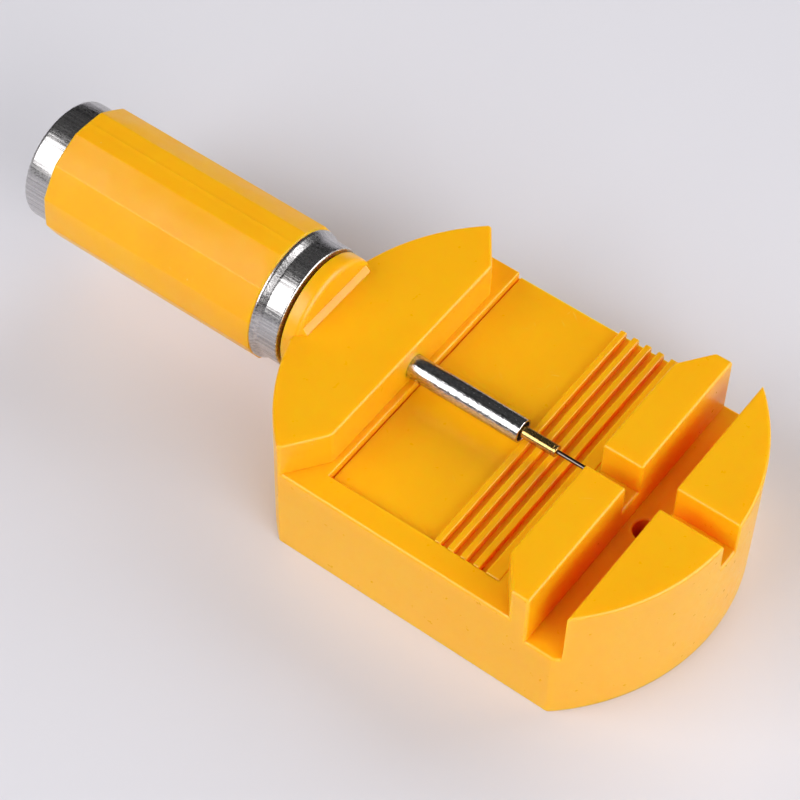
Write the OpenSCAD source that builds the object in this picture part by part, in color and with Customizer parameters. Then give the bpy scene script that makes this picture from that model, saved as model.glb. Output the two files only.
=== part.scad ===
// Screw-driven pin pusher for watch bracelets: a tray with slotted jaws, and a turning handle
// that pushes a fine needle along the tool axis. +X points from the handle to the jaws, +Z is up,
// and the origin is the middle of the flat underside.

/* [Base] */
// Width across the two flat sides
base_w = 39; // [38:0.5:42]
// Radius of the rounded rear and nose
end_r = 26; // [25.5:0.5:28]
// Distance between the centres of the rear arc and the nose arc
end_spread = 2; // [1:0.5:3]
// Height of the deck that the jaws and the head stand on
deck_z = 13.2; // [12.8:0.1:13.4]
// Height of the head block
head_z = 18.2; // [17.8:0.1:18.6]
// Height of the jaw blocks
jaw_z = 18.5; // [18:0.1:19]
// Height of the tool axis above the underside
axis_z = 15.1; // [14.8:0.1:15.2]

/* [Tray] */
// Front face of the head block, where the tray starts
tray_rear_x = -14.3; // [-15:0.1:-14]
// Rear faces of the inner jaws, where the tray ends
tray_front_x = 9.5; // [9.5:0.1:10]
// Depth of the recess in the tray
recess_d = 0.9; // [0.5:0.1:1.2]
// Width of the rim along the near side of the recess
rim_w = 3.2; // [2.5:0.1:4]
// Narrow ribs across the tray
rib_count = 4; // [2:1:4]
// Width of a narrow rib
rib_w = 0.84; // [0.7:0.02:0.9]
// Distance from one rib to the next
rib_pitch = 1.68; // [1.6:0.02:1.7]
// Height that the ribs stand above the deck
rib_rise = 0.12; // [0.05:0.01:0.2]

/* [Jaws] */
// Depth of the inner jaws along the tool axis
jaw_l = 5.15; // [4.8:0.05:5.3]
// Width of the channel between the inner and the outer jaws
channel_w = 4.2; // [4.2:0.05:4.4]
// Height of the channel's floor
channel_z = 10.7; // [10:0.1:11.5]
// Width of the slot along the tool axis
slot_w = 3.1; // [2.8:0.1:3.4]
// Height of the slot's floor
slot_z = 13.95; // [13.6:0.05:14]
// Diameter of the hole in the channel's floor, where a freed pin drops through
drop_d = 2.7; // [2:0.1:3]

/* [Boss] */
// Diameter of the round boss on the head
boss_d = 14.7; // [14:0.1:15]
// Rear face of the boss
boss_rear_x = -27.3; // [-27.6:0.1:-27.2]
// Thickness of the boss
boss_l = 2; // [1.8:0.1:2.2]
// Height of the sloped foot in front of the boss
boss_foot = 0.95; // [0.5:0.05:1.2]

/* [Handle] */
// Gap between the collar and the boss
collar_gap = 0.4; // [0.35:0.05:0.6]
// Diameter of the collar's neck
neck_d = 15.3; // [15:0.1:15.6]
// Diameter of the collar's lip
lip_d = 16.2; // [15.9:0.1:16.2]
// Length of the collar in front of the grip
collar_l = 3.45; // [3.2:0.05:3.8]
// Diameter of the twelve-sided grip across its corners
grip_d = 16.8; // [16.6:0.1:17]
// Length of the grip
grip_l = 30; // [30:0.5:31]
// Turn of the grip's corners about the tool axis
grip_turn = 12; // [0:1:30]
// Diameter of the rear cap
cap_d = 15; // [14.6:0.1:15.2]
// Length of the rear cap behind the grip
cap_l = 3.7; // [3.2:0.1:4]

/* [Screw and pin] */
// Outer diameter of the post's thread
thread_d = 5; // [4.6:0.1:5]
// Outer diameter of the smooth push tube
tube_d = 2.9; // [2.8:0.05:3]
// Bore of the push tube
tube_bore_d = 2.4; // [2.2:0.05:2.5]
// Front end of the push tube
tube_tip_x = 0.5; // [0:0.1:1]
// Diameter of the pin holder's front stem
stem_d = 1.44; // [1.3:0.02:1.6]
// Front end of the pin holder
stem_tip_x = 5; // [4.5:0.1:5.5]
// Diameter of the needle
needle_d = 0.52; // [0.4:0.02:0.8]
// Tip of the needle, inside the slot of the inner jaws
needle_tip_x = 13.2; // [12:0.1:14]

/* [Hidden] */
$fn = 96;

amber = [0.95, 0.66, 0.06];
nickel = [0.78, 0.77, 0.76];
steel = [0.62, 0.62, 0.63];
brass = [0.80, 0.62, 0.28];

past = 1;                    // how far a cutting shape runs past what it cuts
running = 0.05;              // radial clearance of a part that turns or slides in another
half_w = base_w / 2;
corner_inset = 4.8;          // the head's front corners, in from the flat sides
head_chamfer_l = 3.5;        // the head's slanted sides, along the tool axis
jaw_corner_inset = 4;
jaw_chamfer_l = 2.95;
recess_gap = 0.8;            // deck left between the head and the recess
last_rib_gap = 0.55;         // deck left between the wide rib and the jaws
wide_rib_w = 1.8;
floor_z = deck_z - recess_d;
channel_x = tray_front_x + jaw_l;
rib_top_z = deck_z + rib_rise;

boss_front_x = boss_rear_x + boss_l;
boss_foot_l = 0.45;
boss_foot_inset = 0.45;      // the foot's ends, in from the boss's outline

post_front_x = tray_rear_x - 2;       // the post ends inside the head
post_flange_d = 9.5;                  // flange of the post, moulded into the boss
post_flange_l = 0.8;
post_flange_x = boss_rear_x + 0.6;
collar_front_x = boss_rear_x - collar_gap;
grip_front_x = collar_front_x - collar_l;
grip_rear_x = grip_front_x - grip_l;
cap_rear_x = grip_rear_x - cap_l;
lip_l = 0.3;
lip_flare_l = 0.7;                    // length over which the neck flares out to the lip
lip_flare_rise = 0.12;                // rise of the flare at its middle
rim_break = 0.25;
liner_d = 12;
liner_bore_d = 10.4;
collar_thread_l = 6;
cap_plug_l = 3;
post_end_gap = 1.1;                   // between the post and the cap's plug
post_rear_x = grip_rear_x + cap_plug_l + post_end_gap;
tube_seat_x = cap_rear_x + 1;         // rear end of the push tube, in the cap
grip_break = 0.25;                    // bevel at both ends of the grip

shank_d = tube_bore_d - 2 * running;
shank_front_x = tube_tip_x - 2;
shank_rear_x = shank_front_x - 6;
clip_x = shank_rear_x + 2;
clip_w = 0.5;
clip_groove_d = 1.9;
clip_d = tube_bore_d - 0.06;
needle_seat_l = 3;                    // needle length pressed into the holder
needle_point_l = 0.25;

// Places a shape drawn around +Z on the tool axis, with its +Z along +X.
module on_axis(x = 0) {
    translate([x, 0, axis_z]) rotate([0, 90, 0]) children();
}

// Round bar or hole along the tool axis from x0 to x1.
module bar(x0, x1, d) {
    on_axis(x0) cylinder(d = d, h = x1 - x0);
}

// Solid turned about the tool axis, from [radius, x] points.
module turned(points) {
    on_axis() rotate_extrude() polygon(points);
}

// Plan of the base: two arcs cut off by the flat sides.
module base_plan() {
    intersection() {
        union() {
            for (side = [-1, 1]) translate([side * end_spread / 2, 0]) circle(r = end_r, $fn = 180);
        }
        square([4 * end_r, base_w], center = true);
    }
}

// Plan of the head block: a flat front with slanted corners.
module head_plan() {
    front_y = half_w - corner_inset;
    side_x = tray_rear_x - head_chamfer_l;
    intersection() {
        base_plan();
        polygon([[-2 * end_r, -half_w - past], [side_x, -half_w - past], [side_x, -half_w],
                 [tray_rear_x, -front_y], [tray_rear_x, front_y],
                 [side_x, half_w], [side_x, half_w + past], [-2 * end_r, half_w + past]]);
    }
}

// Plan of all four jaws before the channel and the slot are cut.
module jaw_plan() {
    rear_y = half_w - jaw_corner_inset;
    side_x = tray_front_x + jaw_chamfer_l;
    intersection() {
        base_plan();
        polygon([[2 * end_r, -half_w - past], [side_x, -half_w - past], [side_x, -half_w],
                 [tray_front_x, -rear_y], [tray_front_x, rear_y],
                 [side_x, half_w], [side_x, half_w + past], [2 * end_r, half_w + past]]);
    }
}

// The ribs across the tray, on the floor of its recess.
module ribs() {
    wide_x = tray_front_x - last_rib_gap - wide_rib_w;
    first_x = wide_x - rib_count * rib_pitch;
    for (i = [0:rib_count - 1]) {
        translate([first_x + i * rib_pitch, rim_w - half_w, floor_z])
            cube([rib_w, base_w - rim_w, rib_top_z - floor_z]);
    }
    translate([wide_x, rim_w - half_w, floor_z])
        cube([wide_rib_w, base_w - rim_w, rib_top_z - floor_z]);
}

// Round boss that the handle closes against, with a sloped foot on the head's top.
module boss() {
    bar(boss_rear_x, boss_front_x, boss_d);
    intersection() {
        bar(boss_front_x - past, boss_front_x + boss_foot_l, boss_d - 2 * boss_foot_inset);
        translate([0, boss_d / 2, 0]) rotate([90, 0, 0]) linear_extrude(boss_d)
            polygon([[boss_front_x - past, head_z - past], [boss_front_x + boss_foot_l, head_z - past],
                     [boss_front_x + boss_foot_l, head_z], [boss_front_x, head_z + boss_foot],
                     [boss_front_x - past, head_z + boss_foot]]);
    }
}

// One moulding: the deck with its tray, the head that holds the screw, and the four jaws.
module base() {
    color(amber) difference() {
        union() {
            difference() {
                union() {
                    linear_extrude(deck_z) base_plan();
                    linear_extrude(head_z) head_plan();
                    linear_extrude(jaw_z) jaw_plan();
                }
                translate([tray_rear_x + recess_gap, rim_w - half_w, floor_z])
                    cube([tray_front_x - tray_rear_x - recess_gap - last_rib_gap, base_w, recess_d + past]);
                translate([channel_x, -half_w - past, channel_z])
                    cube([channel_w, base_w + 2 * past, jaw_z]);
                translate([tray_front_x - past, -slot_w / 2, slot_z])
                    cube([end_r * 2, slot_w, jaw_z]);
                translate([channel_x + channel_w / 2, 0, -past])
                    cylinder(d = drop_d, h = channel_z + 2 * past);
            }
            ribs();
            boss();
        }
        bar(boss_rear_x - past, tray_rear_x + past, tube_d + 2 * running);
        bar(boss_rear_x - past, post_front_x, thread_d);
        bar(post_flange_x, post_flange_x + post_flange_l, post_flange_d);
    }
}

// Hollow screw fixed in the head. The handle's collar runs on its thread.
module threaded_post() {
    color(steel) difference() {
        union() {
            bar(post_rear_x, post_front_x, thread_d);
            bar(post_flange_x, post_flange_x + post_flange_l, post_flange_d);
        }
        bar(post_rear_x - past, post_front_x + past, tube_d + 2 * running);
    }
}

// Bright collar at the front of the grip: a neck, a lip, and the nut that runs on the post.
module front_collar() {
    neck_r = neck_d / 2;
    lip_r = lip_d / 2;
    lip_front_x = grip_front_x + lip_l;
    nut_r = thread_d / 2 + running;
    spigot_r = liner_bore_d / 2;
    nut_rear_x = collar_front_x - collar_thread_l;
    color(nickel) turned([
        [nut_r, collar_front_x], [neck_r - rim_break, collar_front_x],
        [neck_r, collar_front_x - rim_break], [neck_r, lip_front_x + lip_flare_l],
        [neck_r + lip_flare_rise, lip_front_x + lip_flare_l / 2],
        [lip_r, lip_front_x], [lip_r, grip_front_x],
        [spigot_r, grip_front_x], [spigot_r, nut_rear_x], [nut_r, nut_rear_x]]);
}

// Twelve-sided bar or taper along the tool axis, from corner radius r0 to r1.
module twelve_sided(x, r0, r1, l) {
    on_axis(x) rotate([0, 0, grip_turn]) cylinder(r1 = r0, r2 = r1, h = l, $fn = 12);
}

// Twelve-sided plastic grip, bevelled at both ends.
module grip() {
    grip_r = grip_d / 2;
    end_r = grip_r - grip_break;
    color(amber) difference() {
        union() {
            twelve_sided(grip_rear_x, end_r, grip_r, grip_break);
            twelve_sided(grip_rear_x + grip_break, grip_r, grip_r, grip_l - 2 * grip_break);
            twelve_sided(grip_front_x - grip_break, grip_r, end_r, grip_break);
        }
        bar(grip_rear_x - past, grip_front_x + past, liner_d);
    }
}

// Metal tube pressed into the grip. It joins the collar to the rear cap.
module grip_liner() {
    color(nickel) difference() {
        bar(grip_rear_x, grip_front_x, liner_d);
        bar(grip_rear_x - past, grip_front_x + past, liner_bore_d);
    }
}

// Closed cap at the rear of the grip, which carries the push tube.
module rear_cap() {
    cap_r = cap_d / 2;
    plug_r = liner_bore_d / 2;
    cap_break = 0.6;
    plug_front_x = grip_rear_x + cap_plug_l;
    tube_r = tube_d / 2;
    color(nickel) turned([
        [0, cap_rear_x], [cap_r - cap_break, cap_rear_x], [cap_r, cap_rear_x + cap_break],
        [cap_r, grip_rear_x], [plug_r, grip_rear_x], [plug_r, plug_front_x],
        [tube_r, plug_front_x], [tube_r, tube_seat_x], [0, tube_seat_x]]);
}

// Smooth polished tube that slides through the post and carries the pin.
module push_tube() {
    color(nickel) difference() {
        bar(tube_seat_x, tube_tip_x, tube_d);
        bar(tube_seat_x - past, tube_tip_x + past, tube_bore_d);
    }
}

// Solid rod inside the push tube. It backs up the pin holder.
module thrust_rod() {
    color(steel) bar(tube_seat_x, shank_rear_x, tube_bore_d);
}

// Brass holder: a shank that seats in the tube, and a slim stem that grips the needle.
module pin_holder() {
    shank_r = shank_d / 2;
    stem_r = stem_d / 2;
    groove_r = clip_groove_d / 2;
    needle_r = needle_d / 2;
    tip_ring_x = stem_tip_x - 0.45;
    tip_ring_w = 0.12;
    tip_ring_r = stem_r - 0.07;
    tip_break = 0.08;
    color(brass) turned([
        [0, shank_rear_x], [shank_r, shank_rear_x], [shank_r, clip_x], [groove_r, clip_x],
        [groove_r, clip_x + clip_w], [shank_r, clip_x + clip_w], [shank_r, shank_front_x],
        [stem_r, shank_front_x], [stem_r, tip_ring_x], [tip_ring_r, tip_ring_x],
        [tip_ring_r, tip_ring_x + tip_ring_w], [stem_r, tip_ring_x + tip_ring_w],
        [stem_r, stem_tip_x - tip_break], [stem_r - tip_break, stem_tip_x],
        [needle_r, stem_tip_x], [needle_r, stem_tip_x - needle_seat_l],
        [0, stem_tip_x - needle_seat_l]]);
}

// Split spring ring in the shank's groove. It keeps the holder in the tube.
module pin_clip() {
    gap_w = 0.6;
    color(steel) difference() {
        bar(clip_x, clip_x + clip_w, clip_d);
        bar(clip_x - past, clip_x + clip_w + past, clip_groove_d);
        translate([clip_x - past, -gap_w / 2, axis_z]) cube([clip_w + 2 * past, gap_w, clip_d]);
    }
}

// Hardened needle that drives the bracelet pin out.
module needle() {
    needle_r = needle_d / 2;
    color(steel) turned([
        [0, stem_tip_x - needle_seat_l], [needle_r, stem_tip_x - needle_seat_l],
        [needle_r, needle_tip_x - needle_point_l], [needle_r / 2, needle_tip_x], [0, needle_tip_x]]);
}

base();
threaded_post();
front_collar();
grip();
grip_liner();
rear_cap();
push_tube();
thrust_rod();
pin_holder();
pin_clip();
needle();
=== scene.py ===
import math

import bmesh
import bpy
from mathutils import Matrix, Vector


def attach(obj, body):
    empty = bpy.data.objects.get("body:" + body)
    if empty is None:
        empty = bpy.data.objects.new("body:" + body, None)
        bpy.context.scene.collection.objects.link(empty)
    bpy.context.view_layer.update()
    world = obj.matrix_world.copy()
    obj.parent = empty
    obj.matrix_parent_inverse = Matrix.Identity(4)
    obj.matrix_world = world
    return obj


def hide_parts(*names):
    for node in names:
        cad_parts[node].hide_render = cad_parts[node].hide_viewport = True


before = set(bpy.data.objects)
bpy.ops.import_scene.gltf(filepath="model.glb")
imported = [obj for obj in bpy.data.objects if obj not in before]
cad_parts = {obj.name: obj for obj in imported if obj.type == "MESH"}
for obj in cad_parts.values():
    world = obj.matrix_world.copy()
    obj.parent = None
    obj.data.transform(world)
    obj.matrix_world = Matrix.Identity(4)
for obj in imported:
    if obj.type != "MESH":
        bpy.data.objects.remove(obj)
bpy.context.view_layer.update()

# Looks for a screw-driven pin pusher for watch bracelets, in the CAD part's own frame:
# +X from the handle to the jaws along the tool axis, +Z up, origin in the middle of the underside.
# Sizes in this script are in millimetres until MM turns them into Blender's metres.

MM = 0.001
AXIS_Z = 15.1                 # height of the tool axis

# Base, as in part.scad
HALF_W = 19.5
END_R = 26.0
END_CENTRE = 1.0
DECK_Z, HEAD_Z, JAW_Z = 13.2, 18.2, 18.5
FLOOR_Z, RIB_Z, CHANNEL_Z, SLOT_Z = 12.3, 13.32, 10.7, 13.95
TRAY_REAR, TRAY_FRONT = -14.3, 9.5
HEAD_CORNER, HEAD_SIDE = 14.7, -17.8
JAW_CORNER, JAW_SIDE = 15.5, 12.45
CHANNEL_REAR, CHANNEL_FRONT = 14.65, 18.85
SLOT_HALF = 1.55
RECESS_REAR, RECESS_SIDE = -13.5, -16.3
RIB_W, RIB_PITCH, RIB_COUNT = 0.84, 1.68, 4
WIDE_RIB_REAR, WIDE_RIB_FRONT = 7.15, 8.95
DROP_R = 1.35
BOSS_REAR, BOSS_FRONT, BOSS_R = -27.3, -25.3, 7.35

# Finer shapes of the base than in part.scad: the sloped foot at the boss's front, the fine groove
# at the foot of the recess's rear wall, and the rounding of the moulded edges
FOOT_L, FOOT_H = 0.6, 0.75
SEAM_W, SEAM_D = 0.22, 0.3
EDGE_ROUND, UNDERSIDE_ROUND, RIB_ROUND, CORNER_ROUND = 0.36, 0.25, 0.2, 0.15

# Handle, screw and pin, as in part.scad
COLLAR_FRONT, COLLAR_REAR = -27.7, -33.7
GRIP_R, GRIP_TURN = 8.4, 12    # corner radius, and degrees from +Y to a corner
GRIP_FRONT, GRIP_REAR = -31.15, -61.15
GRIP_BORE_R = 6.0
CAP_REAR, CAP_FRONT, CAP_R = -64.85, -58.15, 7.5
SPIGOT_R = 5.2                 # collar and cap, where they plug into the grip's liner
NUT_BORE_R = 2.55              # collar's bore, which runs on the post
TUBE_R, TUBE_BORE_R, TUBE_REAR, TUBE_FRONT = 1.45, 1.2, -63.85, 0.5
POST_REAR, POST_FRONT, POST_R, BORE_R = -57.05, -16.3, 2.5, 1.48
FLANGE_REAR, FLANGE_FRONT, FLANGE_R = -26.7, -25.9, 4.75
THREAD_PITCH = 0.8
NEEDLE_REAR, NEEDLE_TIP, NEEDLE_R = 2.0, 13.2, 0.26

# Edges sharper than this many degrees aren't shaded smooth
SHARP_ANGLE, TURNED_SHARP_ANGLE = 32, 40


# ---------------------------------------------------------------- mesh helpers

def finish_mesh(name, bm, sharp_angle=SHARP_ANGLE):
    """Blender object from a mesh in millimetres, shaded smooth up to an angle in degrees."""
    bmesh.ops.recalc_face_normals(bm, faces=bm.faces)
    for v in bm.verts:
        v.co *= MM
    mesh = bpy.data.meshes.new(name)
    bm.to_mesh(mesh)
    bm.free()
    mesh.polygons.foreach_set("use_smooth", [True] * len(mesh.polygons))
    mesh.set_sharp_from_angle(angle=math.radians(sharp_angle))
    obj = bpy.data.objects.new(name, mesh)
    bpy.context.scene.collection.objects.link(obj)
    return obj


def apply_modifiers(obj):
    """Makes the result of an object's modifiers its own mesh."""
    graph = bpy.context.evaluated_depsgraph_get()
    mesh = bpy.data.meshes.new_from_object(obj.evaluated_get(graph))
    obj.modifiers.clear()
    obj.data = mesh
    return obj


def combine(obj, others, operation):
    """Adds other solids to obj, or cuts them from it, and removes them."""
    for other in others:
        tool = obj.modifiers.new("combine", "BOOLEAN")
        tool.operation = operation
        tool.solver = "EXACT"
        tool.object = other
        bpy.context.view_layer.update()
        apply_modifiers(obj)
        bpy.data.objects.remove(other)
    return obj


def round_corners(points, steps=5):
    """Profile with its corners rounded. A point is (x, r), or (x, r, radius) for a rounded corner."""
    out = []
    count = len(points)
    for i, point in enumerate(points):
        here = Vector(point[:2])
        radius = point[2] if len(point) > 2 else 0
        if radius == 0:
            out.append(here)
            continue
        back = (Vector(points[i - 1][:2]) - here).normalized()
        ahead = (Vector(points[(i + 1) % count][:2]) - here).normalized()
        half = back.angle(ahead) / 2
        reach = radius / math.tan(half)
        centre = here + (back + ahead).normalized() * (radius / math.sin(half))
        start = here + back * reach - centre
        end = here + ahead * reach - centre
        first = math.atan2(start.y, start.x)
        sweep = math.remainder(math.atan2(end.y, end.x) - first, math.tau)
        for k in range(steps + 1):
            angle = first + sweep * k / steps
            out.append(centre + Vector((math.cos(angle), math.sin(angle))) * radius)
    return out


def lathe(profile, segments=144, loop=True):
    """Closed solid turned about the tool axis from (x, r) points. Points on the axis close an end."""
    bm = bmesh.new()
    rings = []
    for x, r in profile:
        if r < 1e-6:
            rings.append([bm.verts.new((x, 0, AXIS_Z))])
            continue
        ring = []
        for i in range(segments):
            angle = math.tau * i / segments
            ring.append(bm.verts.new((x, r * math.cos(angle), AXIS_Z + r * math.sin(angle))))
        rings.append(ring)
    pairs = list(zip(rings, rings[1:]))
    if loop:
        pairs.append((rings[-1], rings[0]))
    for a, b in pairs:
        for i in range(segments):
            j = (i + 1) % segments
            corners = [a[i % len(a)], a[j % len(a)], b[j % len(b)], b[i % len(b)]]
            unique = list(dict.fromkeys(corners))
            if len(unique) > 2:
                bm.faces.new(unique)
    return bm


# ---------------------------------------------------------------- base

def end_arc(side, y0, y1, step=2.6):
    """Points on the nose arc (side 1) or the rear arc (side -1) from y0 to y1, both included."""
    a0, a1 = math.asin(y0 / END_R), math.asin(y1 / END_R)
    count = max(1, round(abs(a1 - a0) * math.degrees(1) / step))
    out = []
    for i in range(count + 1):
        a = a0 + (a1 - a0) * i / count
        out.append((side * (END_CENTRE + END_R * math.cos(a)), END_R * math.sin(a)))
    return out


def base_cells():
    """Plan of the base: (height, outline) of each level, outlines anticlockwise."""
    cut_y = math.sqrt(END_R ** 2 - (CHANNEL_FRONT - END_CENTRE) ** 2)
    nose_near = end_arc(1, -cut_y, -SLOT_HALF)
    nose_far = end_arc(1, SLOT_HALF, cut_y)
    nose_slot = end_arc(1, -SLOT_HALF, SLOT_HALF)
    cheek_near = end_arc(1, -HALF_W, -cut_y)
    cheek_far = end_arc(1, cut_y, HALF_W)
    rear = end_arc(-1, HALF_W, -HALF_W)
    hole_x = (CHANNEL_REAR + CHANNEL_FRONT) / 2
    turns = [math.pi * i / 16 for i in range(17)]
    hole_near = [(hole_x + DROP_R * math.cos(-a), DROP_R * math.sin(-a)) for a in turns]
    hole_far = [(hole_x - DROP_R * math.cos(a), DROP_R * math.sin(a)) for a in turns]

    cells = [
        (HEAD_Z, [(HEAD_SIDE, -HALF_W), (TRAY_REAR, -HEAD_CORNER), (TRAY_REAR, HEAD_CORNER),
                  (HEAD_SIDE, HALF_W)] + rear),
        (DECK_Z, [(HEAD_SIDE, -HALF_W), (JAW_SIDE, -HALF_W), (TRAY_FRONT, -JAW_CORNER),
                  (TRAY_FRONT, JAW_CORNER), (JAW_SIDE, HALF_W), (WIDE_RIB_FRONT, HALF_W),
                  (WIDE_RIB_FRONT, RECESS_SIDE), (RECESS_REAR, RECESS_SIDE), (RECESS_REAR, HALF_W),
                  (HEAD_SIDE, HALF_W), (TRAY_REAR, HEAD_CORNER), (TRAY_REAR, -HEAD_CORNER)]),
        (JAW_Z, [(TRAY_FRONT, -JAW_CORNER), (JAW_SIDE, -HALF_W), (CHANNEL_REAR, -HALF_W),
                 (CHANNEL_REAR, -SLOT_HALF), (TRAY_FRONT, -SLOT_HALF)]),
        (JAW_Z, [(TRAY_FRONT, SLOT_HALF), (CHANNEL_REAR, SLOT_HALF), (CHANNEL_REAR, HALF_W),
                 (JAW_SIDE, HALF_W), (TRAY_FRONT, JAW_CORNER)]),
        (SLOT_Z, [(TRAY_FRONT, -SLOT_HALF), (CHANNEL_REAR, -SLOT_HALF),
                  (CHANNEL_REAR, SLOT_HALF), (TRAY_FRONT, SLOT_HALF)]),
        (CHANNEL_Z, [(CHANNEL_REAR, -HALF_W)] + cheek_near + [(CHANNEL_FRONT, 0)] + hole_near
         + [(CHANNEL_REAR, 0)]),
        (CHANNEL_Z, [(CHANNEL_REAR, 0)] + hole_far + [(CHANNEL_FRONT, 0)] + cheek_far
         + [(CHANNEL_REAR, HALF_W)]),
        (JAW_Z, nose_near + [(CHANNEL_FRONT, -SLOT_HALF)]),
        (JAW_Z, [(CHANNEL_FRONT, SLOT_HALF)] + nose_far),
        (SLOT_Z, [(CHANNEL_FRONT, -SLOT_HALF)] + nose_slot + [(CHANNEL_FRONT, SLOT_HALF)]),
    ]
    steps = [(RECESS_REAR, FLOOR_Z - SEAM_D), (RECESS_REAR + SEAM_W, FLOOR_Z)]
    first_rib = WIDE_RIB_REAR - RIB_COUNT * RIB_PITCH
    for i in range(RIB_COUNT):
        rib_x = first_rib + i * RIB_PITCH
        steps += [(rib_x, RIB_Z), (rib_x + RIB_W, FLOOR_Z)]
    steps += [(WIDE_RIB_REAR, RIB_Z), (WIDE_RIB_FRONT, None)]
    for (x0, height), (x1, _) in zip(steps, steps[1:]):
        cells.append((height, [(x0, RECESS_SIDE), (x1, RECESS_SIDE), (x1, HALF_W), (x0, HALF_W)]))
    return cells


def key(point):
    return (round(point[0], 4), round(point[1], 4))


def between(a, b, points):
    """Points that lie on the segment from a to b, in order, without its ends."""
    ax, ay = a
    dx, dy = b[0] - ax, b[1] - ay
    length = math.hypot(dx, dy)
    found = []
    for x, y in points:
        along = ((x - ax) * dx + (y - ay) * dy) / length
        aside = abs((x - ax) * dy - (y - ay) * dx) / length
        if aside < 2e-4 and 1e-3 < along < length - 1e-3:
            found.append((along, (x, y)))
    return [p for _, p in sorted(found)]


def stepped_solid(cells):
    """Closed solid standing on z = 0 with a flat top over each plan cell."""
    points = {key(p) for _, outline in cells for p in outline}
    rings = []
    for height, outline in cells:
        keys = list(dict.fromkeys(key(p) for p in outline))
        ring = []
        for a, b in zip(keys, keys[1:] + keys[:1]):
            ring += [a] + between(a, b, points)
        rings.append((height, ring))
    beside = {(a, b): height for height, ring in rings for a, b in zip(ring, ring[1:] + ring[:1])}
    levels = {}
    for (a, b), height in beside.items():
        for p in (a, b):
            levels.setdefault(p, set()).add(height)
            if (b, a) not in beside:
                levels[p].add(0.0)
    bm = bmesh.new()
    made = {}

    def vert(p, z):
        if (p, z) not in made:
            made[p, z] = bm.verts.new((p[0], p[1], z))
        return made[p, z]

    for height, ring in rings:
        bm.faces.new([vert(p, height) for p in ring])
        for p in ring:
            vert(p, 0.0)
        bm.faces.new([vert(p, 0.0) for p in reversed(ring)])
    for (a, b), high in beside.items():
        low = beside.get((b, a), 0.0)
        if low >= high:
            continue
        rise = [vert(b, z) for z in sorted(levels[b]) if low <= z <= high]
        fall = [vert(a, z) for z in sorted(levels[a], reverse=True) if low <= z <= high]
        bm.faces.new(rise + fall)
    bmesh.ops.dissolve_limit(bm, angle_limit=math.radians(0.3), verts=bm.verts, edges=bm.edges)
    return bm


def edge_rounding(edge):
    """How far in millimetres a moulded edge of the base is rounded, or 0 where it stays sharp."""
    if len(edge.link_faces) != 2 or edge.calc_face_angle_signed() < math.radians(20):
        return 0
    a, b = (v.co for v in edge.verts)
    low, high = min(a.z, b.z), max(a.z, b.z)
    middle = (a + b) / 2
    upright = high - low > 1e-3
    in_tray = RECESS_REAR - 0.01 < middle.x < WIDE_RIB_FRONT + 0.01 and middle.y > RECESS_SIDE - 0.01
    if high < 0.01:
        return UNDERSIDE_ROUND
    if in_tray and high < FLOOR_Z + 0.01:
        return 0
    if in_tray and high < RIB_Z + 0.01:
        return RIB_ROUND
    if upright and middle.x < HEAD_SIDE + 0.1 and abs(middle.y) > HALF_W - 0.5:
        return CORNER_ROUND
    return EDGE_ROUND


def build_boss():
    """Disc that the handle closes against, and the sloped foot at its front."""
    rear_round, front_round = 0.08, 0.75
    disc = lathe(round_corners([(BOSS_REAR, 0), (BOSS_REAR, BOSS_R, rear_round),
                                (BOSS_FRONT, BOSS_R, front_round), (BOSS_FRONT, 0)], 8), loop=False)
    # The foot starts inside the disc and the head, and a cone keeps its ends within the disc's rim.
    foot_rear, foot_bottom, brim = BOSS_FRONT - 0.8, HEAD_Z - 0.5, 0.03
    cone_rear_r, cone_front_r = BOSS_R - 0.1, BOSS_R - 0.85
    limit = lathe([(BOSS_FRONT - 2, 0), (BOSS_FRONT - 2, cone_rear_r), (BOSS_FRONT - 0.6, cone_rear_r),
                   (BOSS_FRONT + 0.7, cone_front_r), (BOSS_FRONT + 0.7, 0)], loop=False)
    side = [(foot_rear, foot_bottom), (BOSS_FRONT + FOOT_L, foot_bottom),
            (BOSS_FRONT + FOOT_L, HEAD_Z + brim), (BOSS_FRONT + brim, HEAD_Z + FOOT_H),
            (foot_rear, HEAD_Z + FOOT_H)]
    foot = bmesh.new()
    near = [foot.verts.new((x, -BOSS_R - 1, z)) for x, z in side]
    far = [foot.verts.new((x, BOSS_R + 1, z)) for x, z in side]
    foot.faces.new(near)
    foot.faces.new(far[::-1])
    for i in range(len(side)):
        j = (i + 1) % len(side)
        foot.faces.new([near[j], near[i], far[i], far[j]])
    wedge = combine(finish_mesh("wedge", foot), [finish_mesh("limit", limit)], "INTERSECT")
    return finish_mesh("disc", disc), wedge


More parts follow.
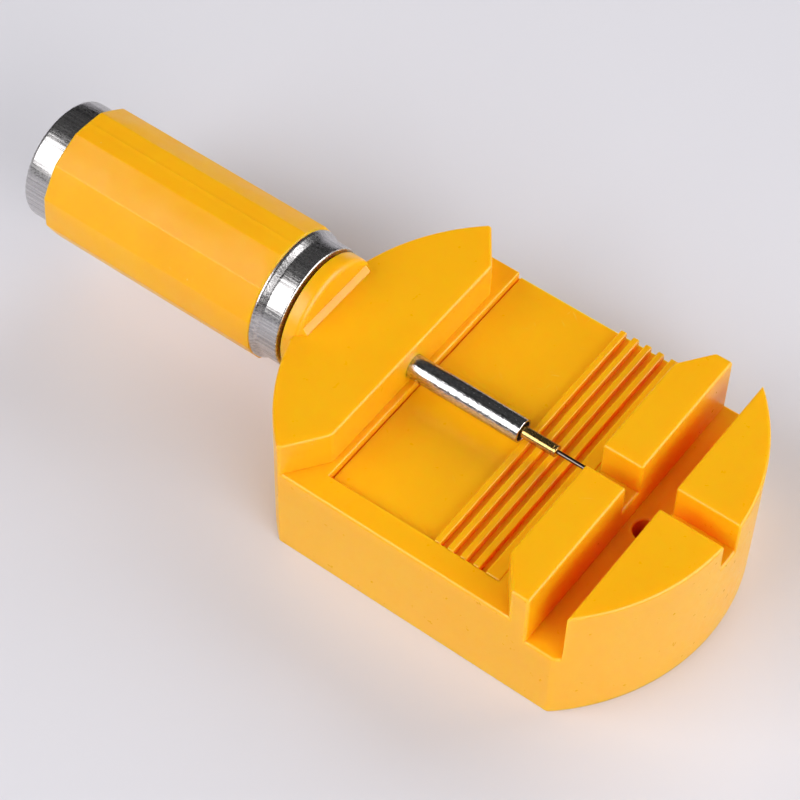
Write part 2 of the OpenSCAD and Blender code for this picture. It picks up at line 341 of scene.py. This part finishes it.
def build_base():
    """The moulding: stepped plan with rounded edges, the boss added, the tube's bore cut."""
    bm = stepped_solid(base_cells())
    bmesh.ops.recalc_face_normals(bm, faces=bm.faces)
    layer = bm.edges.layers.float.new("bevel_weight_edge")
    for edge in bm.edges:
        edge[layer] = edge_rounding(edge) / EDGE_ROUND
    obj = finish_mesh("base_moulding", bm)
    bevel = obj.modifiers.new("rounding", "BEVEL")
    bevel.limit_method = "WEIGHT"
    bevel.width = EDGE_ROUND * MM
    bevel.segments = 4
    bevel.use_clamp_overlap = False
    bpy.context.view_layer.update()
    apply_modifiers(obj)

    bore = lathe([(BOSS_REAR - 1, 0), (BOSS_REAR - 1, BORE_R), (TRAY_REAR + 1, BORE_R),
                  (TRAY_REAR + 1, 0)], 48, False)
    combine(obj, build_boss(), "UNION")
    combine(obj, [finish_mesh("bore", bore)], "DIFFERENCE")
    clean = bmesh.new()
    clean.from_mesh(obj.data)
    bmesh.ops.remove_doubles(clean, verts=clean.verts, dist=2e-7)
    bmesh.ops.dissolve_degenerate(clean, edges=clean.edges, dist=1e-7)
    clean.to_mesh(obj.data)
    clean.free()
    obj.data.polygons.foreach_set("use_smooth", [True] * len(obj.data.polygons))
    obj.data.set_sharp_from_angle(angle=math.radians(SHARP_ANGLE))
    normals = obj.modifiers.new("flat_faces", "WEIGHTED_NORMAL")
    normals.keep_sharp = True
    normals.weight = 90
    return obj


# ---------------------------------------------------------------- handle

def grip_radius(angle, rounding=0.45, crown=0.05):
    """Outer radius of the twelve-sided grip at an angle: slightly crowned facets and softened corners."""
    flat = GRIP_R * math.cos(math.radians(15))
    off = (angle - math.radians(GRIP_TURN)) % math.radians(30)
    from_corner = min(off, math.radians(30) - off)
    from_middle = math.radians(15) - from_corner
    tangent = math.atan((flat - rounding) * math.tan(math.radians(15)) / flat)
    if from_middle <= tangent:
        return flat / math.cos(from_middle) + crown * math.cos(math.pi / 2 * from_middle / tangent)
    centre = (flat - rounding) / math.cos(math.radians(15))
    return centre * math.cos(from_corner) + math.sqrt(rounding ** 2 - (centre * math.sin(from_corner)) ** 2)


def grip_angles():
    """(angle, ridge height) of each column of the grip's mesh. Two facets carry the parting line."""
    parting_facets = (2, 8)
    ridge = ((-0.9, 0), (-0.2, 0.045), (0.2, 0.045), (0.9, 0))     # degrees from the middle, height
    columns = []
    for facet in range(12):
        middle = GRIP_TURN + 15 + 30 * facet
        for step in (-15, -14.6, -14.1, -13.4, -12.5, -8, -4, 4, 8, 12.5, 13.4, 14.1, 14.6):
            columns.append((middle + step, 0))
        if facet in parting_facets:
            columns += [(middle + s, h) for s, h in ridge]
        else:
            columns.append((middle, 0))
    return [(math.radians(a), h) for a, h in sorted(columns)]


def build_grip():
    """Twelve-sided sleeve with a small rounded bevel at each end."""
    bevel = [(0, -0.27), (0.03, -0.17), (0.09, -0.08), (0.17, -0.02)]     # along the axis, change of radius
    bevel_l, bands = 0.3, 10
    length = GRIP_FRONT - GRIP_REAR
    bm = bmesh.new()
    strips = []
    for angle, ridge in grip_angles():
        r = grip_radius(angle)
        points = [(0, GRIP_BORE_R)] + [(x, r + step) for x, step in bevel]
        points += [(bevel_l + (length - 2 * bevel_l) * k / bands, r + ridge) for k in range(bands + 1)]
        points += [(length - x, r + step) for x, step in reversed(bevel)] + [(length, GRIP_BORE_R)]
        strips.append([bm.verts.new((GRIP_REAR + x, rad * math.cos(angle), AXIS_Z + rad * math.sin(angle)))
                       for x, rad in points])
    for a, b in zip(strips, strips[1:] + strips[:1]):
        for i in range(len(a)):
            j = (i + 1) % len(a)
            bm.faces.new([a[i], a[j], b[j], b[i]])
    return finish_mesh("grip_sleeve", bm, TURNED_SHARP_ANGLE)


def build_collar():
    """Nut of the screw: plain neck, flare and lip in front of the grip, and a spigot inside it."""
    face, neck, lip = 7.64, 7.62, 8.1
    profile = round_corners([
        (COLLAR_FRONT, NUT_BORE_R, 0.15), (COLLAR_FRONT, face, 0.24), (COLLAR_FRONT - 0.6, neck),
        (GRIP_FRONT + 1.05, neck, 0.6), (GRIP_FRONT + 0.32, lip - 0.06, 0.12),
        (GRIP_FRONT + 0.14, lip, 0.1), (GRIP_FRONT, lip), (GRIP_FRONT, SPIGOT_R),
        (COLLAR_REAR, SPIGOT_R), (COLLAR_REAR, NUT_BORE_R)], 6)
    return finish_mesh("collar_turned", lathe(profile, 192), TURNED_SHARP_ANGLE)


def build_cap():
    """Closed cap behind the grip, with a spigot inside it and a blind hole for the tube."""
    profile = round_corners([
        (CAP_REAR, 0), (CAP_REAR, CAP_R, 0.55), (GRIP_REAR, CAP_R, 0.12), (GRIP_REAR, SPIGOT_R),
        (CAP_FRONT, SPIGOT_R), (CAP_FRONT, TUBE_R), (TUBE_REAR, TUBE_R), (TUBE_REAR, 0)])
    return finish_mesh("cap_turned", lathe(profile, 192, loop=False), TURNED_SHARP_ANGLE)


def build_tube():
    """Polished push tube, open at its front."""
    profile = round_corners([
        (TUBE_REAR, TUBE_BORE_R), (TUBE_REAR, TUBE_R, 0.05), (TUBE_FRONT, TUBE_R, 0.11),
        (TUBE_FRONT, TUBE_BORE_R, 0.07)])
    return finish_mesh("tube_polished", lathe(profile, 96), TURNED_SHARP_ANGLE)


# ---------------------------------------------------------------- screw and pin

def build_post():
    """Hollow post with a right-hand thread behind the boss and a plain shank inside the head."""
    per_turn = 48
    root = 2.03
    turns = int((BOSS_REAR + 0.6 - POST_REAR) / THREAD_PITCH) - 1
    section = [(0.0, 1.0), (0.1, 1.0), (0.4, 0.0), (0.5, 0.0)]      # x within a pitch, share of the depth
    rows = turns * len(section)
    bm = bmesh.new()
    start_x = POST_REAR + 0.2

    def depth(x):
        """The thread fades out over its first and last turn."""
        ends = min(x - start_x, start_x + (turns + 1) * THREAD_PITCH - x) / THREAD_PITCH
        return root + (POST_R - root) * min(1, max(0, ends))

    grid = []
    for i in range(per_turn):
        angle = math.tau * i / per_turn
        column = []
        for k in range(rows + 1):
            share_x, high = section[k % len(section)]
            x = start_x + (k // len(section) + share_x + i / per_turn) * THREAD_PITCH
            r = root + (depth(x) - root) * high
            column.append(bm.verts.new((x, r * math.cos(angle), AXIS_Z + r * math.sin(angle))))
        grid.append(column)
    step = len(section)
    for i in range(per_turn - 1):
        for k in range(rows):
            bm.faces.new([grid[i][k], grid[i][k + 1], grid[i + 1][k + 1], grid[i + 1][k]])
    last, first = grid[-1], grid[0]
    for k in range(rows - step):
        bm.faces.new([last[k], last[k + 1], first[k + 1 + step], first[k + step]])

    def ring(x, r):
        return [bm.verts.new((x, r * math.cos(math.tau * i / per_turn),
                              AXIS_Z + r * math.sin(math.tau * i / per_turn))) for i in range(per_turn)]

    rear_ring = ring(POST_REAR, root)
    front_ring = ring(start_x + (turns + 1) * THREAD_PITCH + 0.1, root)
    for i in range(per_turn - 1):
        bm.faces.new([rear_ring[i], grid[i][0], grid[i + 1][0], rear_ring[i + 1]])
        bm.faces.new([grid[i][rows], front_ring[i], front_ring[i + 1], grid[i + 1][rows]])
    bm.faces.new([rear_ring[-1], last[0]] + [first[k] for k in range(step, -1, -1)] + [rear_ring[0]])
    bm.faces.new([front_ring[-1], front_ring[0], first[rows]]
                 + [last[k] for k in range(rows - step, rows + 1)])

    shank_x = start_x + (turns + 1) * THREAD_PITCH + 0.1
    outline = [ring(shank_x + 0.05, POST_R), ring(FLANGE_REAR, POST_R), ring(FLANGE_REAR, FLANGE_R),
               ring(FLANGE_FRONT, FLANGE_R), ring(FLANGE_FRONT, POST_R), ring(POST_FRONT, POST_R),
               ring(POST_FRONT, BORE_R - 0.01), ring(POST_REAR, BORE_R - 0.01)]
    loops = [front_ring] + outline + [rear_ring]
    for a, b in zip(loops, loops[1:]):
        for i in range(per_turn):
            j = (i + 1) % per_turn
            bm.faces.new([a[i], a[j], b[j], b[i]])
    return finish_mesh("post_threaded", bm, sharp_angle=25)


def build_holder():
    """Brass holder: shank with the clip's groove inside the tube, and a thinner stem for the needle."""
    shank_rear, shank_front, stem_front = -7.5, -1.5, 5.0
    shank_r, stem_r = 1.15, 0.72
    clip_x, clip_w, groove_r = -5.5, 0.5, 0.95
    ring_x, ring_w, ring_r = stem_front - 0.45, 0.12, stem_r - 0.07     # turned line near the stem's front
    profile = round_corners([
        (shank_rear, 0), (shank_rear, shank_r, 0.08), (clip_x, shank_r), (clip_x, groove_r),
        (clip_x + clip_w, groove_r), (clip_x + clip_w, shank_r), (shank_front, shank_r, 0.1),
        (shank_front, stem_r), (ring_x, stem_r, 0.03), (ring_x, ring_r),
        (ring_x + ring_w, ring_r), (ring_x + ring_w, stem_r, 0.05), (stem_front, stem_r, 0.1),
        (stem_front, NEEDLE_R), (NEEDLE_REAR, NEEDLE_R), (NEEDLE_REAR, 0)], 4)
    return finish_mesh("holder_turned", lathe(profile, 72, loop=False), TURNED_SHARP_ANGLE)


def build_needle():
    """Straight needle with a blunted tip."""
    profile = round_corners([(NEEDLE_REAR, 0), (NEEDLE_REAR, NEEDLE_R), (NEEDLE_TIP - 0.28, NEEDLE_R, 0.2),
                             (NEEDLE_TIP, NEEDLE_R * 0.55, 0.06), (NEEDLE_TIP, 0)], 4)
    return finish_mesh("needle_ground", lathe(profile, 48, loop=False), TURNED_SHARP_ANGLE)


# ---------------------------------------------------------------- materials

class Shader:
    """A material's node tree, with short calls for adding and joining nodes."""

    def __init__(self, name, base, roughness, **constants):
        self.material = bpy.data.materials.new(name)
        self.material.use_nodes = True
        self.tree = self.material.node_tree
        self.surface = self.tree.nodes["Principled BSDF"]
        self.surface.inputs["Base Color"].default_value = (*base, 1)
        self.surface.inputs["Roughness"].default_value = roughness
        for socket, value in constants.items():
            self.surface.inputs[socket.replace("_", " ")].default_value = value
        self.coords = self.add("ShaderNodeTexCoord").outputs["Object"]

    def add(self, kind, inputs=None, **settings):
        node = self.tree.nodes.new(kind)
        for name, value in settings.items():
            setattr(node, name, value)
        for socket, value in (inputs or {}).items():
            if isinstance(value, bpy.types.NodeSocket):
                self.tree.links.new(value, node.inputs[socket])
            else:
                node.inputs[socket].default_value = value
        return node

    def stretch(self, scale, turn=(0, 0, 0)):
        """Object coordinates turned, then scaled by a frequency per millimetre along each turned axis."""
        return self.add("ShaderNodeMapping", {"Vector": self.coords, "Rotation": turn,
                                              "Scale": tuple(MM / s for s in scale)},
                        vector_type="TEXTURE").outputs["Vector"]

    def noise(self, vector, detail=2.0, rough=0.5, scale=1.0, distortion=0.0):
        return self.add("ShaderNodeTexNoise", {"Vector": vector, "Scale": scale, "Detail": detail,
                                               "Roughness": rough, "Distortion": distortion}).outputs["Fac"]

    def remap(self, value, low, high, to_low=0.0, to_high=1.0):
        return self.add("ShaderNodeMapRange", {"Value": value, "From Min": low, "From Max": high,
                                               "To Min": to_low, "To Max": to_high}).outputs["Result"]

    def maths(self, operation, a, b=0.0):
        return self.add("ShaderNodeMath", {0: a, 1: b}, operation=operation).outputs[0]

    def mix(self, factor, a, b):
        node = self.add("ShaderNodeMix", data_type="RGBA")
        for socket, value in (("Factor_Float", factor), ("A_Color", a), ("B_Color", b)):
            target = next(s for s in node.inputs if s.identifier == socket)
            if isinstance(value, bpy.types.NodeSocket):
                self.tree.links.new(value, target)
            elif socket == "Factor_Float":
                target.default_value = value
            else:
                target.default_value = (*value, 1)
        return next(s for s in node.outputs if s.identifier == "Result_Color")

    def link(self, socket, value):
        self.tree.links.new(value, self.surface.inputs[socket])

    def bump(self, *layers):
        """Stacks (height value, depth in millimetres) layers into one normal."""
        normal = None
        for height, depth in layers:
            inputs = {"Height": height, "Distance": depth * MM, "Strength": 1.0}
            if normal:
                inputs["Normal"] = normal
            normal = self.add("ShaderNodeBump", inputs).outputs["Normal"]
        self.link("Normal", normal)


def amber_plastic(name, base, deep, roughness, gloss, scratch, specks, wave_rate, wave_depth):
    """Glossy moulded plastic: soft colour drift, painted shade that turns hollows deep red, small
    scratches, a few specks and a wavy skin.

    scratch is their strength, specks the share of 2 mm cells that hold one, and the waves have a
    rate per millimetre and a depth in millimetres.
    """
    sh = Shader(name, base, roughness, IOR=1.5, Specular_IOR_Level=gloss, Subsurface_Weight=1.0,
                Subsurface_Scale=0.0010, Subsurface_Radius=(1.0, 0.7, 0.3))
    drift = sh.noise(sh.stretch((0.07, 0.07, 0.07)), 3)
    colour = sh.mix(sh.remap(drift, 0.35, 0.65), base, deep)
    # Painted shade: where an ambient occlusion node finds little open space around a point, as in the
    # channel, the slots and the rib grooves, the colour is mixed towards deep red (0.99, 0.14, 0.0).
    painted_shade_ao = sh.add("ShaderNodeAmbientOcclusion", {"Distance": 9 * MM}, samples=8, only_local=True)
    colour = sh.mix(sh.remap(painted_shade_ao.outputs["AO"], 0.07, 0.38), (0.99, 0.14, 0.0), colour)

    marks = None
    for turn, scale in (((0.1, 0.1, 0.5), (0.30, 2.8, 2.8)), ((-0.1, 0.1, 1.4), (0.26, 3.2, 3.2)),
                        ((0.1, -0.1, 2.5), (0.34, 2.5, 2.5))):
        line = sh.remap(sh.noise(sh.stretch(scale, turn), 1, 0.4, distortion=0.3), 0.75, 0.8)
        marks = line if marks is None else sh.maths("MAXIMUM", marks, line)
    worn = sh.remap(sh.noise(sh.stretch((0.13, 0.13, 0.13), (0.4, 0.2, 0)), 2), 0.54, 0.7)
    marks = sh.maths("MULTIPLY", sh.maths("MULTIPLY", marks, worn), scratch)

    cells = sh.add("ShaderNodeTexVoronoi", {"Vector": sh.stretch((0.45, 0.45, 0.45)), "Scale": 1.0})
    pick = sh.add("ShaderNodeSeparateColor", {"Color": cells.outputs["Color"]})
    dot = sh.maths("MULTIPLY", sh.remap(cells.outputs["Distance"], 0.07, 0.035),
                   sh.remap(pick.outputs["Red"], 1 - specks, 1 - specks + 0.02))
    speck = sh.mix(sh.remap(pick.outputs["Green"], 0.45, 0.55), (0.45, 0.14, 0.01), (1.0, 0.75, 0.3))
    colour = sh.mix(sh.maths("MULTIPLY", marks, 0.2), colour, (1.0, 0.72, 0.22))
    colour = sh.mix(sh.maths("MULTIPLY", dot, 0.5), colour, speck)
    sh.link("Base Color", colour)

    mottle = sh.noise(sh.stretch((0.9, 0.9, 0.9)), 4, 0.6)
    sh.link("Roughness", sh.maths("ADD", sh.remap(mottle, 0.3, 0.7, roughness - 0.05, roughness + 0.07),
                                  sh.maths("MULTIPLY", marks, 0.15)))
    sh.bump((sh.noise(sh.stretch((wave_rate,) * 3), 0.5), wave_depth),
            (sh.noise(sh.stretch((5, 5, 5)), 3, 0.6), 0.0022),
            (marks, -0.004))
    return sh.material


def drawn_metal(name, base, roughness, line_scale, line_depth, grain, grain_depth, tint):
    """Bright metal with drawn or turned marks and a fine grain.

    line_scale and grain are rates per millimetre, the depths are in millimetres, and tint is how
    much darker the marks are.
    """
    sh = Shader(name, base, roughness, Metallic=1.0)
    streak = sh.noise(sh.stretch(line_scale), 2, 0.6)
    fine = sh.noise(sh.stretch((grain * 0.4, grain, grain)), 2, 0.6)
    dull = tuple(c * (1 - tint) for c in base)
    sh.link("Base Color", sh.mix(sh.remap(streak, 0.4, 0.65), base, dull))
    sh.link("Roughness", sh.remap(fine, 0.3, 0.75, roughness * 0.7, roughness * 1.4))
    sh.bump((streak, line_depth), (fine, grain_depth))
    return sh.material


def make_materials():
    return {
        "base": amber_plastic(
            "amber_base", (0.978, 0.48, 0.004), (0.97, 0.455, 0.003), roughness=0.32, gloss=0.5,
            scratch=1.0, specks=0.05, wave_rate=0.14, wave_depth=0.06),
        "grip": amber_plastic(
            "amber_grip", (0.905, 0.455, 0.006), (0.885, 0.415, 0.004), roughness=0.36, gloss=0.34,
            scratch=0.6, specks=0.12, wave_rate=0.20, wave_depth=0.35),
        "handle": drawn_metal(
            "bright_handle_metal", (0.64, 0.62, 0.62), roughness=0.29, line_scale=(0.06, 3.2, 3.2),
            line_depth=0.03, grain=8, grain_depth=0.0015, tint=0.35),
        "tube": drawn_metal(
            "polished_tube_steel", (0.68, 0.67, 0.68), roughness=0.20, line_scale=(2.4, 5, 5),
            line_depth=0.018, grain=8, grain_depth=0.006, tint=0.45),
        "post": drawn_metal(
            "oiled_post_steel", (0.55, 0.55, 0.56), roughness=0.28, line_scale=(1.0, 4.0, 4.0),
            line_depth=0.004, grain=10, grain_depth=0.002, tint=0.1),
        "rod": drawn_metal(
            "ground_rod_steel", (0.58, 0.58, 0.59), roughness=0.25, line_scale=(0.5, 5.0, 5.0),
            line_depth=0.002, grain=10, grain_depth=0.002, tint=0.1),
        "brass": drawn_metal(
            "turned_holder_brass", (0.60, 0.40, 0.14), roughness=0.22, line_scale=(3.0, 1.0, 1.0),
            line_depth=0.004, grain=10, grain_depth=0.001, tint=0.15),
        "needle": drawn_metal(
            "hardened_needle_steel", (0.17, 0.14, 0.13), roughness=0.18, line_scale=(0.5, 4.0, 4.0),
            line_depth=0.001, grain=14, grain_depth=0.0008, tint=0.1),
    }


def dress(obj, material):
    """Gives an object one material."""
    obj.data.materials.clear()
    obj.data.materials.append(material)


# ---------------------------------------------------------------- stage, lights and camera

def add_floor():
    """Plain pale floor with a faint drift of tone."""
    bm = bmesh.new()
    reach = 1500
    corners = [bm.verts.new((x * reach, y * reach, 0)) for x, y in ((-1, -1), (1, -1), (1, 1), (-1, 1))]
    bm.faces.new(corners)
    floor = finish_mesh("studio_floor", bm)
    sh = Shader("floor_paper", (0.71, 0.70, 0.75), 0.7, Specular_IOR_Level=0.15)
    tone = sh.noise(sh.stretch((0.01, 0.01, 0.01)), 2)
    sh.link("Base Color", sh.mix(tone, (0.722, 0.708, 0.758), (0.70, 0.69, 0.735)))
    dress(floor, sh.material)


def add_light(name, toward, distance, size, power, diffuse=True, glossy=True):
    """Rectangular soft light in a direction from the object, facing it."""
    light = bpy.data.lights.new(name, "AREA")
    light.shape = "RECTANGLE"
    light.size, light.size_y = size
    light.energy = power
    obj = bpy.data.objects.new(name, light)
    direction = Vector(toward).normalized()
    obj.location = Vector((-0.01, 0, 0.01)) + direction * distance
    obj.rotation_euler = direction.to_track_quat("Z", "Y").to_euler()
    obj.visible_diffuse = diffuse
    obj.visible_glossy = glossy
    bpy.context.scene.collection.objects.link(obj)


def add_world():
    """Nearly dark surroundings, so that the lights shape the reflections."""
    world = bpy.data.worlds.new("studio")
    bpy.context.scene.world = world
    world.use_nodes = True
    back = world.node_tree.nodes["Background"]
    back.inputs["Color"].default_value = (0.92, 0.93, 1.0, 1)
    back.inputs["Strength"].default_value = 0.01


def add_camera():
    """Camera at the photograph's viewing angle: toward points from the object to the camera."""
    azimuth, elevation, roll = (math.radians(a) for a in (54.66, 53.25, 1.623))
    target, distance = Vector((-12.782, -4.595, 14.9)) * MM, 0.29037
    toward = Vector((math.cos(elevation) * math.cos(azimuth), -math.cos(elevation) * math.sin(azimuth),
                     math.sin(elevation)))
    right = Vector((0, 0, 1)).cross(toward).normalized()
    up = toward.cross(right)
    across = right * math.cos(roll) + up * math.sin(roll)
    above = up * math.cos(roll) - right * math.sin(roll)
    camera = bpy.data.cameras.new("camera")
    camera.lens = 119.38
    camera.sensor_width = 36
    camera.clip_start, camera.clip_end = 0.01, 10
    obj = bpy.data.objects.new("camera", camera)
    place = Matrix((across, above, toward)).transposed().to_4x4()
    place.translation = target + toward * distance
    obj.matrix_world = place
    bpy.context.scene.collection.objects.link(obj)
    bpy.context.scene.camera = obj


# ---------------------------------------------------------------- scene

materials = make_materials()

# (maker, body it moves with, CAD node it stands for, material, slot in the record)
PIECES = [
    (build_base, "base", "base", "base", "base_plastic"),
    (build_post, "base", "threaded_post", "post", "post_steel"),
    (build_grip, "handle", "grip", "grip", "grip_plastic"),
    (build_collar, "handle", "front_collar", "handle", "handle_metal"),
    (build_cap, "handle", "rear_cap", "handle", "handle_metal"),
    (build_tube, "handle", "push_tube", "tube", "tube_steel"),
    (build_holder, "pin", "pin_holder", "brass", "holder_brass"),
    (build_needle, "pin", "needle", "needle", "needle_steel"),
]
for maker, body, node, material, slot in PIECES:
    piece = maker()
    dress(piece, materials[material])
    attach(piece, body)
    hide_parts(node)

# Pieces hidden inside the handle and the tube keep their CAD shape.
for node, material in (("grip_liner", "handle"), ("thrust_rod", "rod"), ("pin_clip", "rod")):
    dress(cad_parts[node], materials[material])

add_floor()
add_world()
add_light("left_softbox", (-0.42, -0.66, 0.62), 0.8, (0.75, 0.55), 5.5)
add_light("right_softbox", (0.85, -0.30, 0.45), 0.9, (0.7, 0.6), 6.2)
add_light("far_fill", (0.1, 0.85, 0.5), 1.0, (1.2, 0.8), 8.2, glossy=False)
add_light("edge_card", (0.75, 0.40, 0.50), 0.9, (0.8, 0.75), 8.5, diffuse=False)
add_light("ceiling_card", (-0.35, 0.50, 0.79), 1.2, (1.8, 1.4), 0.4, diffuse=False)
add_camera()

scene = bpy.context.scene
scene.view_settings.view_transform = "Standard"
